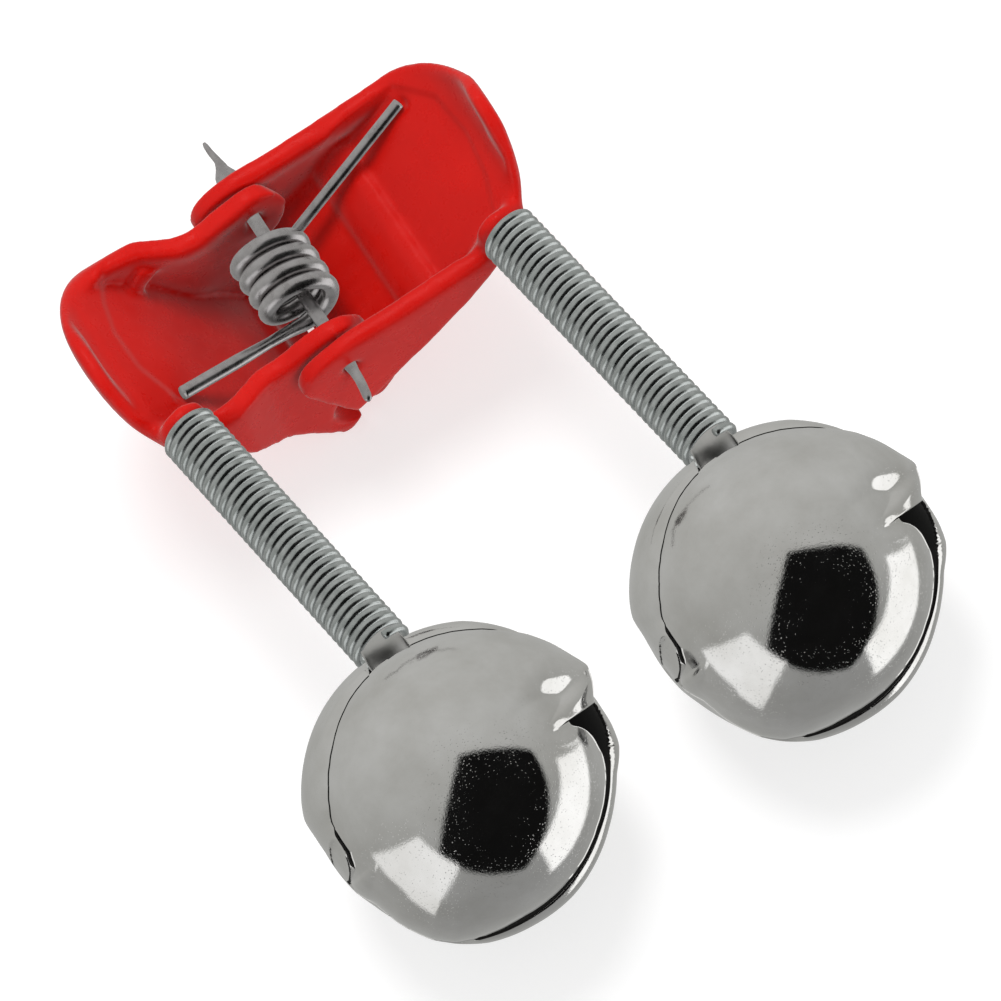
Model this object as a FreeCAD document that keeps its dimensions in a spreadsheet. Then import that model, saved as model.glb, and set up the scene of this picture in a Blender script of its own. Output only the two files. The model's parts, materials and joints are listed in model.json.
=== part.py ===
import FreeCAD, Part
import Sketcher
import math
import os
from FreeCAD import Vector as V

# Clip-on twin-bell bite alarm for a fishing rod.
# Two plastic clip halves turn on a wire pin against a torsion spring. Each
# handle carries one close-wound spring stem with a jingle bell on its end.
#
# Clip frame, used while a piece is drawn: x is "o", from the inner half towards
# the outer half; y runs along the pivot pin, away from the bells; z is "e",
# from the jaws up to the handles. The pin's centre is the origin.
# The row frame is the clip frame tipped about x so that both bells and the
# jaws stand on the floor, with the origin at the bottom centre of the box.

doc = FreeCAD.newDocument("rod_bell_clip")

# ------------------------------------------------------------------ sheet
DIMS = [
    ("wall_thk", 1.3), ("outer_half_width", 7.5), ("inner_half_width", 6.1),
    ("inner_flare_width", 7.4), ("ear_radius", 2.8), ("tongue_run", 3.9),
    ("outer_tongue_start", 11.8), ("inner_tongue_start", 11.1),
    ("pin_radius", 0.55), ("pin_front", 9.9), ("pin_back", 11.6),
    ("pin_hole_press", 0.56), ("pin_hole_run", 0.62),
    ("coil_mean_radius", 2.12), ("coil_wire_radius", 0.5), ("coil_length", 4.4), ("coil_drop", 0.45),
    ("jaw_bottom", 11.5), ("jaw_gap", 0.08), ("outer_jaw_width", 5.0),
    ("rod_radius", 1.9), ("rod_depth", 8.5),
    ("stem_radius", 2.0), ("stem_bore", 1.4), ("stem_pitch", 0.59),
    ("stem_groove", 0.2), ("peg_radius", 1.28), ("peg_length", 4.0),
    ("stem_seat", 6.9), ("stem_count", 34),
    ("bell_radius", 10.0), ("sheet_thk", 0.35), ("front_radius", 9.0),
    ("front_rise", 0.9), ("rim_rise", 1.6), ("pellet_radius", 2.6),
    ("strap_width", 1.8), ("strap_thk", 0.5),
    ("bell_reach", 35.8), ("bell_height", 0.7),
    ("left_bell_offset", 8.64), ("right_bell_offset", 15.36),
    ("left_stem_offset", 11.14), ("right_stem_offset", 12.64),
    ("left_stem_height", 3.49), ("right_stem_height", 3.96),
    ("strap_reach", 9.5), ("strap_lift", 1.0),
    ("bell_tip", 23.0), ("bell_yaw", -5.0),
]
sheet = doc.addObject("Spreadsheet::Sheet", "dims")
for row, (alias, value) in enumerate(DIMS, start=1):
    sheet.set("A%d" % row, alias)
    sheet.set("B%d" % row, repr(value))
    sheet.setAlias("B%d" % row, alias)
doc.recompute()


def D(alias):
    return float(getattr(sheet, alias))


# ------------------------------------------------------------------ helpers
def prim(kind, name, placement=None, **props):
    """A Part primitive; string values are expressions on the sheet."""
    obj = doc.addObject("Part::" + kind, name)
    for key, value in props.items():
        if isinstance(value, str):
            obj.setExpression(key, value)
        else:
            setattr(obj, key, value)
    if placement is not None:
        obj.Placement = placement
    return obj


def cut(name, base, tool):
    obj = doc.addObject("Part::Cut", name)
    obj.Base, obj.Tool = base, tool
    return obj


def fuse(name, shapes):
    obj = doc.addObject("Part::MultiFuse", name)
    obj.Shapes = shapes
    obj.Refine = True
    return obj


def common(name, shapes):
    obj = doc.addObject("Part::MultiCommon", name)
    obj.Shapes = shapes
    return obj


def along(start, direction):
    """Placement that puts local z along direction, with its origin at start."""
    return FreeCAD.Placement(start, FreeCAD.Rotation(V(0, 0, 1), direction))


def plane(body, role):
    return [f for f in body.Origin.OriginFeatures if f.Role == role][0]


def sketch(body, name, role):
    sk = body.newObject("Sketcher::SketchObject", name)
    sk.AttachmentSupport = [(plane(body, role), "")]
    sk.MapMode = "FlatFace"
    return sk


def loop(sk, pts):
    """A closed loop of straight lines, joined at its corners."""
    first = sk.GeometryCount
    n = len(pts)
    for i in range(n):
        a, b = pts[i], pts[(i + 1) % n]
        sk.addGeometry(Part.LineSegment(V(a[0], a[1], 0), V(b[0], b[1], 0)), False)
    for i in range(n):
        sk.addConstraint(Sketcher.Constraint("Coincident", first + i, 2, first + (i + 1) % n, 1))


def smooth(ctrl, per=4):
    """Points on a Catmull-Rom curve through ctrl."""
    out = []
    n = len(ctrl)
    for i in range(n - 1):
        p0 = ctrl[max(i - 1, 0)]
        p1, p2 = ctrl[i], ctrl[i + 1]
        p3 = ctrl[min(i + 2, n - 1)]
        for k in range(per):
            u = k / float(per)
            out.append(tuple(
                0.5 * ((2 * p1[j]) + (-p0[j] + p2[j]) * u
                       + (2 * p0[j] - 5 * p1[j] + 4 * p2[j] - p3[j]) * u * u
                       + (-p0[j] + 3 * p1[j] - 3 * p2[j] + p3[j]) * u ** 3)
                for j in (0, 1)))
    out.append(tuple(ctrl[-1]))
    return out


def arc_pts(cx, cy, r, a0, a1, n):
    return [(cx + r * math.cos(math.radians(a0 + (a1 - a0) * k / n)),
             cy + r * math.sin(math.radians(a0 + (a1 - a0) * k / n))) for k in range(n + 1)]


# ------------------------------------------------------------------ frames
def bell_axes():
    """Local axes of a bell in the clip frame: across, towards the stem, mouth normal."""
    th = math.radians(D("bell_tip"))
    ph = math.radians(D("bell_yaw"))
    zb = V(math.cos(th) * math.sin(ph), -math.sin(th), math.cos(th) * math.cos(ph))
    yb = V(0.0393, 0.918, 0.395)
    yb = yb - zb * yb.dot(zb)
    yb.normalize()
    return yb.cross(zb), yb, zb


XB, YB, ZB = bell_axes()


def bell_placement(centre):
    m = FreeCAD.Matrix(XB.x, YB.x, ZB.x, centre.x,
                       XB.y, YB.y, ZB.y, centre.y,
                       XB.z, YB.z, ZB.z, centre.z,
                       0, 0, 0, 1)
    return FreeCAD.Placement(m)


SIDES = {}
for side, sign in (("left", -1.0), ("right", 1.0)):
    centre = V(sign * D(side + "_bell_offset"), -D("bell_reach"), D("bell_height"))
    seat = V(sign * D(side + "_stem_offset"), -D("stem_seat"), D(side + "_stem_height"))
    end = centre + YB * D("strap_reach") + ZB * D("strap_lift")
    axis = end - seat
    length = axis.Length
    axis.normalize()
    SIDES[side] = dict(centre=centre, seat=seat, end=end, axis=axis, length=length)

# Tip angle: the lowest points of the bells and of the inner jaw's front corner
# are level.
yj, zj = -D("inner_half_width"), -D("jaw_bottom")
yb_, zb_ = -D("bell_reach"), D("bell_height")
lo, hi = 0.0, 0.6
for _ in range(60):
    mid = 0.5 * (lo + hi)
    gap = (math.sin(mid) * yb_ + math.cos(mid) * zb_ - D("bell_radius")) - \
          (math.sin(mid) * yj + math.cos(mid) * zj)
    if gap > 0:
        lo = mid
    else:
        hi = mid
TIP = 0.5 * (lo + hi)
FRAME = FreeCAD.Placement(V(0, 0, 0), FreeCAD.Rotation(V(1, 0, 0), math.degrees(TIP)))

FINAL = {}


def finish(node, obj):
    obj.Label = node
    FINAL[node] = obj


# ------------------------------------------------------------------ clip halves
# Side profiles in (distance from the pin away from the other half, height).
W = D("wall_thk")

OUTER_TOP = smooth([(0.0, 2.8), (3.8, 2.75), (8.4, 3.1), (11.75, 3.5), (13.9, 4.75),
                    (14.9, 6.7), (15.0, 9.15)], 3)
OUTER_BACK = smooth([(15.75, 9.15), (15.9, 7.6), (15.5, 5.4), (14.2, 3.5), (11.6, 1.6),
                     (8.7, -0.75), (5.8, -2.7), (2.9, -4.4), (0.6, -5.8), (-0.75, -6.5)], 3)
OUTER_FLOOR = smooth([(15.0, 9.15), (14.95, 6.7), (13.95, 4.75), (11.2, 2.95), (8.1, 0.55),
                      (5.2, -1.45), (2.5, -3.1), (0.5, -4.35), (-2.2, -5.3)], 3)

INNER_TOP = smooth([(0.0, 2.8), (2.2, 2.3), (4.0, 1.7), (7.0, 2.2), (9.2, 2.65), (11.1, 2.75),
                    (12.8, 3.7), (13.7, 5.0), (13.85, 6.35)], 3)
INNER_BACK = smooth([(14.6, 6.35), (14.75, 5.0), (14.2, 3.4), (12.8, 1.8), (10.6, -0.8),
                     (8.1, -3.8), (5.0, -7.5), (2.0, -11.1)], 3)
INNER_FLOOR = smooth([(13.85, 6.35), (13.65, 5.0), (12.75, 3.75), (11.4, 2.2), (9.6, 0.1),
                      (7.1, -3.0), (4.6, -6.0), (2.6, -8.6)], 3)
# Front outlines of the rounded handle ends: half width at a height.
OUTER_END = [(8.6, 2.9), (7.6, 3.3), (6.9, 4.0), (6.1, 4.75), (5.0, 5.65), (3.9, 6.5), (2.9, 7.3),
             (1.9, 8.1), (1.0, 8.75), (0.0, 9.1)]
INNER_END = [(8.6, 1.7), (7.4, 2.0), (6.9, 2.6), (6.0, 3.4), (5.0, 4.15), (4.0, 4.85), (3.0, 5.5),
             (2.0, 6.0), (1.0, 6.28), (0.0, 6.34)]


def tongue_outline(start, run, width, neck=None):
    """Plan outline: straight sides, then half an ellipse at the handle's end."""
    if neck is None:
        side = [(-4.0, width)]
    else:
        side = [(-4.0, neck), (4.3, neck), (5.2, neck + 0.1), (7.6, width - 0.12)]
    side.append((start, width))
    end = [(start + run * math.sin(math.radians(a)), width * math.cos(math.radians(a)))
           for a in range(8, 90, 8)]
    half = side + end
    return half + [(start + run, 0.0)] + [(x, -y) for x, y in reversed(half)]


def half_body(name, profile, outline, end, flip):
    """Envelope of a half: its side profile, trimmed to its plan outline."""
    body = doc.addObject("PartDesign::Body", name)
    sk = sketch(body, name + "_side", "XZ_Plane")
    loop(sk, [(flip * x, z) for x, z in profile])
    pad = body.newObject("PartDesign::Pad", name + "_pad")
    pad.Profile = sk
    pad.Midplane = True
    pad.setExpression("Length", "dims.outer_half_width * 2 + 2")
    doc.recompute()
    trim = sketch(body, name + "_plan", "XY_Plane")
    loop(trim, [(flip * x, y) for x, y in outline])
    far = 30.0
    loop(trim, [(-far, -far), (far, -far), (far, far), (-far, far)])
    pocket = body.newObject("PartDesign::Pocket", name + "_trim")
    pocket.Profile = trim
    pocket.Type = 1
    pocket.Midplane = True
    before = pad.Shape.Volume
    doc.recompute()
    if not pocket.Shape.Volume < before - 1.0:
        raise RuntimeError(name + ": the trim removed nothing")
    # round the handle's end as seen along the handle; the ear stays as it is
    crown = prim("Box", name + "_crown_block", FreeCAD.Placement(V(0, -20, end[0][1]), FreeCAD.Rotation()),
                 Length=20.0, Width=40.0, Height=12.0)
    if flip < 0:
        crown.Placement = FreeCAD.Placement(V(-20, -20, end[0][1]), FreeCAD.Rotation())
    keep_body = doc.addObject("PartDesign::Body", name + "_crown")
    ks = sketch(keep_body, name + "_crown_face", "YZ_Plane")
    half = [(end[0][0], end[0][1] - 1.0)] + list(end)
    loop(ks, half + [(-y, z) for y, z in reversed(half[:-1])])
    kp = keep_body.newObject("PartDesign::Pad", name + "_crown_pad")
    kp.Profile = ks
    kp.Midplane = True
    kp.Length = 60.0
    doc.recompute()
    waste = cut(name + "_crown_waste", crown, keep_body)
    return cut(name + "_crowned", body, waste)


def cavity(name, floor, outline, flip):
    """The space above a half's floor and between its side walls."""
    body = doc.addObject("PartDesign::Body", name)
    sk = sketch(body, name + "_side", "XZ_Plane")
    x_far = floor[0][0]
    pts = list(floor) + [(floor[-1][0] - 6.0, floor[-1][1]), (floor[-1][0] - 6.0, 12.0), (x_far, 12.0)]
    loop(sk, [(flip * x, z) for x, z in pts])
    pad = body.newObject("PartDesign::Pad", name + "_pad")
    pad.Profile = sk
    pad.Midplane = True
    pad.setExpression("Length", "dims.outer_half_width * 2 + 2")
    doc.recompute()
    trim = sketch(body, name + "_plan", "XY_Plane")
    loop(trim, [(flip * x, y) for x, y in outline])
    far = 30.0
    loop(trim, [(-far, -far), (far, -far), (far, far), (-far, far)])
    pocket = body.newObject("PartDesign::Pocket", name + "_trim")
    pocket.Profile = trim
    pocket.Type = 1
    pocket.Midplane = True
    doc.recompute()
    return body


# --- outer half
ear_left = arc_pts(0.0, 0.0, D("ear_radius"), 100, 205, 8)
outer_profile = OUTER_TOP + OUTER_BACK + list(reversed(ear_left))[:-1]
outer_body = half_body("outer_env", outer_profile,
                       tongue_outline(D("outer_tongue_start"), D("tongue_run") + 0.35,
                                      D("outer_half_width")), OUTER_END, 1.0)
wo = D("outer_half_width") - 1.2
outer_cav = cavity("outer_cav", OUTER_FLOOR,
                   [(-9.0, wo), (10.6, wo), (12.6, wo - 0.35), (14.0, wo - 1.6), (15.0, wo - 3.3),
                    (15.6, wo - 4.6), (16.6, wo - 5.2), (16.6, -wo + 5.2), (15.6, -wo + 4.6),
                    (15.0, -wo + 3.3), (14.0, -wo + 1.6), (12.6, -wo + 0.35), (10.6, -wo),
                    (-9.0, -wo)], 1.0)
outer_tray = cut("outer_tray", outer_body, outer_cav)
# keep the plate between the outer half's walls clear of the inner half
outer_relief = prim("Box", "outer_relief",
                    FreeCAD.Placement(V(-6.0 + 0.08, -wo, -9.0), FreeCAD.Rotation()),
                    Length=6.0, Height=6.2)
outer_relief.setExpression("Width", "(dims.outer_half_width - 1.2) * 2")
outer_tray2 = cut("outer_tray2", outer_tray, outer_relief)
# jaw block below the plate
outer_jaw = doc.addObject("PartDesign::Body", "outer_jaw")
sk = sketch(outer_jaw, "outer_jaw_side", "XZ_Plane")
jb, jg = D("jaw_bottom"), D("jaw_gap")
loop(sk, [(jg, -jb + 1.0), (1.1, -jb), (2.0, -jb), (3.1, -jb + 1.4), (4.3, -5.5), (4.6, -3.1),
          (2.4, -4.2), (0.62, -5.1), (jg, -5.6)])
pad = outer_jaw.newObject("PartDesign::Pad", "outer_jaw_pad")
pad.Profile = sk
pad.Midplane = True
pad.setExpression("Length", "dims.outer_jaw_width * 2")
# reinforcing step across the floor
outer_step = doc.addObject("PartDesign::Body", "outer_step")
sk = sketch(outer_step, "outer_step_side", "XZ_Plane")
loop(sk, [(5.0, -2.2), (7.9, -0.1), (7.55, 0.62), (6.75, 0.35), (5.6, -0.55), (4.9, -1.35)])
pad = outer_step.newObject("PartDesign::Pad", "outer_step_pad")
pad.Profile = sk
pad.Midplane = True
pad.setExpression("Length", "(dims.outer_half_width - 1.0) * 2")

# --- inner half
inner_profile = INNER_TOP + INNER_BACK + [(1.9, -jb), (1.1, -jb), (jg, -jb + 1.0), (jg, -4.2)] + \
    [(-x, z) for x, z in arc_pts(0.0, 0.0, D("ear_radius"), -42, 80, 9)]
inner_body = half_body("inner_env", inner_profile,
                       tongue_outline(D("inner_tongue_start"), D("tongue_run") - 0.25,
                                      D("inner_flare_width"), D("inner_half_width")), INNER_END, -1.0)
wi = D("inner_half_width") - 1.2
wf = D("inner_flare_width") - 1.2
inner_cav = cavity("inner_cav", INNER_FLOOR,
                   [(-9.0, wi), (4.2, wi), (5.4, wi + 0.1), (7.8, wf - 0.12), (10.3, wf),
                    (12.1, wf - 0.5), (13.2, wf - 1.7), (14.1, wf - 3.3), (14.7, wf - 4.6),
                    (15.6, wf - 5.2), (15.6, -wf + 5.2), (14.7, -wf + 4.6), (14.1, -wf + 3.3),
                    (13.2, -wf + 1.7), (12.1, -wf + 0.5), (10.3, -wf), (7.8, -wf + 0.12),
                    (5.4, -wi - 0.1), (4.2, -wi), (-9.0, -wi)], -1.0)
inner_tray = cut("inner_tray", inner_body, inner_cav)
# clear the space between the inner half's ears for the coil
inner_room = prim("Box", "inner_room",
                  FreeCAD.Placement(V(-2.6, -wi, -6.4), FreeCAD.Rotation()),
                  Length=9.0, Height=12.0)
inner_room.setExpression("Width", "(dims.inner_half_width - 1.2) * 2")
inner_tray2 = cut("inner_tray2", inner_tray, inner_room)
rib_a = prim("Box", "inner_rib_front",
             FreeCAD.Placement(V(-9.6, -wf - 0.1, -0.6), FreeCAD.Rotation(V(0, 1, 0), 40)),
             Length=1.3, Width=0.9, Height=2.4)
rib_b = prim("Box", "inner_rib_back",
             FreeCAD.Placement(V(-9.6, wf - 0.8, -0.6), FreeCAD.Rotation(V(0, 1, 0), 40)),
             Length=1.3, Width=0.9, Height=2.4)

# --- stem seats: a lug and a peg on each handle's front corner
seats = {}
for side in ("left", "right"):
    s = SIDES[side]
    lug = prim("Cylinder", side + "_lug", along(s["seat"] - s["axis"] * 1.15, s["axis"]),
               Radius="dims.stem_radius - 0.2", Height=1.1)
    peg = prim("Cylinder", side + "_peg", along(s["seat"] - s["axis"] * 0.3, s["axis"]),
               Radius="dims.peg_radius", Height="dims.peg_length + 0.3")
    clear = prim("Cylinder", side + "_seat_clear", along(s["seat"] - s["axis"] * 0.04, s["axis"]),
                 Radius="dims.stem_radius + 0.15", Height=6.0)
    seats[side] = (lug, peg, clear)

rod = prim("Cylinder", "rod_room",
           along(V(0, 12, -D("rod_depth")), V(0, -1, 0)), Radius="dims.rod_radius", Height=24.0)


def half_node(node, pieces, side, hole_alias, arm_tools):
    lug, peg, clear = seats[side]
    blank = fuse(node + "_blank", pieces + [lug])
    cleared = cut(node + "_cleared", blank, clear)
    pegged = fuse(node + "_pegged", [cleared, peg])
    grooved = cut(node + "_grooved", pegged, rod)
    hole = prim("Cylinder", node + "_pin_hole", along(V(0, 12, 0), V(0, -1, 0)),
                Radius="dims." + hole_alias, Height=24.0)
    last = cut(node + "_bored", grooved, hole)
    for i, tool in enumerate(arm_tools):
        last = cut("%s_arm%d" % (node, i), last, tool)
    finish(node, last)
    return last


# --- torsion spring arms: start on the coil, end in a small hole in each floor
ARM_R = (V(-0.2, 1.75, 2.02), V(11.5, 5.1, 3.45))
ARM_L = (V(-0.5, -1.75, -2.1), V(-9.95, -3.35, 1.25))


def rod_between(name, a, b, radius, extra=0.0):
    d = b - a
    n = V(d)
    n.normalize()
    obj = prim("Cylinder", name, along(a, n), Height=d.Length + extra)
    obj.setExpression("Radius", radius)
    return obj


arm_r_room = rod_between("arm_r_room", ARM_R[0] + (ARM_R[1] - ARM_R[0]) * 0.55, ARM_R[1],
                         "dims.coil_wire_radius + 0.12", 0.5)
arm_l_room = rod_between("arm_l_room", ARM_L[0] + (ARM_L[1] - ARM_L[0]) * 0.35, ARM_L[1],
                         "dims.coil_wire_radius + 0.12", 0.5)

half_node("outer_clip_half", [outer_tray2, outer_jaw, outer_step], "right", "pin_hole_press",
          [arm_r_room])
half_node("inner_clip_half", [inner_tray2, rib_a, rib_b], "left", "pin_hole_run", [arm_l_room])

# ------------------------------------------------------------------ pin
pin_rod = prim("Cylinder", "pin_rod", along(V(0, 9.0, 0), V(0, -1, 0)), Radius="dims.pin_radius")
pin_rod.setExpression("Height", "9 + dims.pin_front")
pin_spike = prim("Cone", "pin_spike", along(V(0, 7.62, 0), V(0, 1, 0)), Radius1=0.95, Radius2=0.15)
pin_spike.setExpression("Height", "dims.pin_back - 7.62")
pin_stake = prim("Cone", "pin_stake", along(V(0, -7.62, 0), V(0, -1, 0)), Radius1=0.78, Radius2=0.6,
                 Height=0.9)
finish("pivot_pin", fuse("pin_all", [pin_rod, pin_spike, pin_stake]))

# ------------------------------------------------------------------ torsion spring
coil = doc.addObject("PartDesign::Body", "coil_body")
sk = sketch(coil, "coil_ring", "XZ_Plane")
c1 = sk.addGeometry(Part.Circle(V(0, 0, 0), V(0, 0, 1), D("coil_mean_radius") + D("coil_wire_radius")), False)
c2 = sk.addGeometry(Part.Circle(V(0, 0, 0), V(0, 0, 1), D("coil_mean_radius") - D("coil_wire_radius")), False)
sk.addConstraint(Sketcher.Constraint("Coincident", c1, 3, -1, 1))
sk.addConstraint(Sketcher.Constraint("Coincident", c2, 3, -1, 1))
k1 = sk.addConstraint(Sketcher.Constraint("Radius", c1, D("coil_mean_radius") + D("coil_wire_radius")))
k2 = sk.addConstraint(Sketcher.Constraint("Radius", c2, D("coil_mean_radius") - D("coil_wire_radius")))
sk.setExpression("Constraints[%d]" % k1, "dims.coil_mean_radius + dims.coil_wire_radius")
sk.setExpression("Constraints[%d]" % k2, "dims.coil_mean_radius - dims.coil_wire_radius")
pad = coil.newObject("PartDesign::Pad", "coil_pad")
pad.Profile = sk
pad.Midplane = True
pad.setExpression("Length", "dims.coil_length")
doc.recompute()
groove_sk = sketch(coil, "coil_groove", "YZ_Plane")
ro = D("coil_mean_radius") + D("coil_wire_radius")
for k in (-1, 0, 1):
    y0 = k * D("coil_length") / 4.0
    loop(groove_sk, [(y0 - 0.34, ro + 0.1), (y0, ro - 0.34), (y0 + 0.34, ro + 0.1)])
groove = coil.newObject("PartDesign::Groove", "coil_grooves")
groove.Profile = groove_sk
groove.ReferenceAxis = (groove_sk, ["H_Axis"])
groove.Angle = 360.0
doc.recompute()
arm_r = rod_between("arm_r", ARM_R[0], ARM_R[1], "dims.coil_wire_radius")
arm_l = rod_between("arm_l", ARM_L[0], ARM_L[1], "dims.coil_wire_radius")
coil.Placement = FreeCAD.Placement(V(-D("coil_drop"), 0, 0), FreeCAD.Rotation())
finish("torsion_spring", fuse("spring_all", [coil, arm_r, arm_l]))

# ------------------------------------------------------------------ stems
for side in ("left", "right"):
    s = SIDES[side]
    stem = doc.addObject("PartDesign::Body", side + "_stem_body")
    sk = sketch(stem, side + "_stem_ring", "XY_Plane")
    c1 = sk.addGeometry(Part.Circle(V(0, 0, 0), V(0, 0, 1), D("stem_radius")), False)
    c2 = sk.addGeometry(Part.Circle(V(0, 0, 0), V(0, 0, 1), D("stem_bore")), False)
    sk.addConstraint(Sketcher.Constraint("Coincident", c1, 3, -1, 1))
    sk.addConstraint(Sketcher.Constraint("Coincident", c2, 3, -1, 1))
    k1 = sk.addConstraint(Sketcher.Constraint("Radius", c1, D("stem_radius")))
    k2 = sk.addConstraint(Sketcher.Constraint("Radius", c2, D("stem_bore")))
    sk.setExpression("Constraints[%d]" % k1, "dims.stem_radius")
    sk.setExpression("Constraints[%d]" % k2, "dims.stem_bore")
    pad = stem.newObject("PartDesign::Pad", side + "_stem_pad")
    pad.Profile = sk
    pad.Length = s["length"]
    doc.recompute()
    gsk = sketch(stem, side + "_stem_notch", "XZ_Plane")
    g = D("stem_groove")
    r0 = D("stem_radius")
    p = D("stem_pitch")
    loop(gsk, [(r0 + 0.05, p - 0.17), (r0 - g, p), (r0 + 0.05, p + 0.17)])
    gr = stem.newObject("PartDesign::Groove", side + "_stem_groove")
    gr.Profile = gsk
    gr.ReferenceAxis = (gsk, ["V_Axis"])
    gr.Angle = 360.0
    doc.recompute()
    pat = stem.newObject("PartDesign::LinearPattern", side + "_stem_turns")
    pat.Originals = [gr]
    pat.Direction = (plane(stem, "Z_Axis"), [""])
    pat.setExpression("Length", "dims.stem_pitch * (dims.stem_count - 1)")
    pat.setExpression("Occurrences", "dims.stem_count")
    stem.Tip = pat
    doc.recompute()
    stem.Placement = along(s["seat"], s["axis"])
    finish(side + "_stem_spring", stem)

# ------------------------------------------------------------------ bells
for side in ("left", "right"):
    s = SIDES[side]
    place = bell_placement(s["centre"])
    inv = place.inverse()
    # back shell: a bowl whose rim closes in a little past the equator
    so = prim("Sphere", side + "_back_out", Radius="dims.bell_radius")
    si = prim("Sphere", side + "_back_in", Radius="dims.bell_radius - dims.sheet_thk")
    bowl = cut(side + "_bowl", so, si)
    above = prim("Box", side + "_above", FreeCAD.Placement(V(-15, -15, D("rim_rise")), FreeCAD.Rotation()),
                 Length=30.0, Width=30.0, Height=20.0)
    bowl2 = cut(side + "_bowl_cut", bowl, above)
    # crimp tab: a strip of the back rim folded in over the front shell's edge
    tab_dir = V(math.cos(math.radians(177.0)), math.sin(math.radians(177.0)), 0)
    tab = prim("Box", side + "_tab",
               FreeCAD.Placement(tab_dir * 8.72, FreeCAD.Rotation(V(0, 0, 1), 177.0))
               * FreeCAD.Placement(V(0, -2.3, 1.3), FreeCAD.Rotation()),
               Length=1.2, Width=4.6, Height=0.5)
    tab2 = common(side + "_tab_in", [tab, prim("Sphere", side + "_tab_ball", Radius="dims.bell_radius")])
    back = fuse(side + "_back", [bowl2, tab2])
    # room for the stem's end, in the bell's own frame
    a0 = inv.multVec(s["end"] - s["axis"] * 6.0)
    a1 = inv.multVec(s["end"] + s["axis"] * 0.55)
    d = a1 - a0
    n = V(d)
    n.normalize()
    room = prim("Cylinder", side + "_stem_room", along(a0, n), Height=d.Length)
    room.setExpression("Radius", "dims.stem_radius + 0.55")
    back2 = cut(side + "_back_notched", back, room)
    back2.Placement = place
    finish(side + "_bell_back_shell", back2)
    # front shell: a smaller dome nested in the back shell's rim
    fo = prim("Sphere", side + "_front_out", Radius="dims.front_radius")
    fi = prim("Sphere", side + "_front_in", Radius="dims.front_radius - dims.sheet_thk")
    dome = cut(side + "_dome", fo, fi)
    below = prim("Box", side + "_below", FreeCAD.Placement(V(-15, -15, -20), FreeCAD.Rotation()),
                 Length=30.0, Width=30.0, Height=20.0)
    dome2 = cut(side + "_dome_cut", dome, below)
    skirt_o = prim("Cylinder", side + "_skirt_o", FreeCAD.Placement(V(0, 0, -0.8), FreeCAD.Rotation()),
                   Radius="dims.front_radius", Height=0.8)
    skirt_i = prim("Cylinder", side + "_skirt_i", FreeCAD.Placement(V(0, 0, -1.0), FreeCAD.Rotation()),
                   Radius="dims.front_radius - dims.sheet_thk", Height=1.2)
    skirt = cut(side + "_skirt", skirt_o, skirt_i)
    front = fuse(side + "_front", [dome2, skirt])
    room2 = prim("Cylinder", side + "_stem_room2", along(a0 - V(0, 0, D("front_rise")), n), Height=d.Length)
    room2.setExpression("Radius", "dims.stem_radius + 0.55")
    front2 = cut(side + "_front_notched", front, room2)
    front2.Placement = place * FreeCAD.Placement(V(0, 0, D("front_rise")), FreeCAD.Rotation())
    finish(side + "_bell_front_shell", front2)
    # hanger strap: from inside the rim into the end of the stem's bore
    h0 = inv.multVec(s["end"] - s["axis"] * 1.5)
    h1 = inv.multVec(s["end"] + s["axis"] * 1.6)
    dd = h1 - h0
    dn = V(dd)
    dn.normalize()
    across = V(1, 0, 0) - dn * dn.x
    across.normalize()
    up = dn.cross(across)
    m = FreeCAD.Matrix(across.x, up.x, dn.x, h0.x,
                       across.y, up.y, dn.y, h0.y,
                       across.z, up.z, dn.z, h0.z, 0, 0, 0, 1)
    strap = prim("Box", side + "_strap",
                 FreeCAD.Placement(m) * FreeCAD.Placement(V(-D("strap_width") / 2, -D("strap_thk") / 2, 0),
                                                          FreeCAD.Rotation()),
                 Length="dims.strap_width", Width="dims.strap_thk", Height=dd.Length)
    foot_y = D("strap_reach") - 1.9
    foot = prim("Box", side + "_strap_foot",
                FreeCAD.Placement(V(-D("strap_width") / 2, foot_y - 0.6, 0.9), FreeCAD.Rotation()),
                Length="dims.strap_width", Width=1.85, Height=1.3)
    strap_all = fuse(side + "_strap_all", [strap, foot])
    strap_all.Placement = place
    finish(side + "_bell_hanger", strap_all)
    # pellet, lying at the bottom of the back shell
    down = FRAME.Rotation.inverted().multVec(V(0, 0, -1))
    reach = D("bell_radius") - D("sheet_thk") - D("pellet_radius") - 0.03
    pellet = prim("Sphere", side + "_pellet_ball", Radius="dims.pellet_radius")
    pellet.Placement = FreeCAD.Placement(s["centre"] + down * reach, FreeCAD.Rotation())
    finish(side + "_bell_pellet", pellet)

doc.recompute()

# ------------------------------------------------------------------ row frame
box = FreeCAD.BoundBox()
for node, obj in FINAL.items():
    obj.Placement = FRAME * obj.Placement
doc.recompute()
for node, obj in FINAL.items():
    box.add(obj.Shape.optimalBoundingBox(False, False) if hasattr(obj.Shape, "optimalBoundingBox")
            else obj.Shape.BoundBox)
shift = V(-(box.XMin + box.XMax) / 2, -(box.YMin + box.YMax) / 2, -box.ZMin)
for node, obj in FINAL.items():
    obj.Placement = FreeCAD.Placement(shift, FreeCAD.Rotation()) * obj.Placement
doc.recompute()

# ------------------------------------------------------------------ checks and files
for obj in doc.Objects:
    if "Invalid" in obj.State or "Error" in obj.State:
        raise RuntimeError("%s is %s" % (obj.Name, obj.State))
for node, obj in FINAL.items():
    shape = obj.Shape
    if shape.isNull() or not shape.isValid():
        raise RuntimeError(node + " has no valid shape")
    print("%-24s solids %d volume %8.2f mm3" % (node, len(shape.Solids), shape.Volume))

TO_ROW = FreeCAD.Placement(shift, FreeCAD.Rotation()) * FRAME


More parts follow.
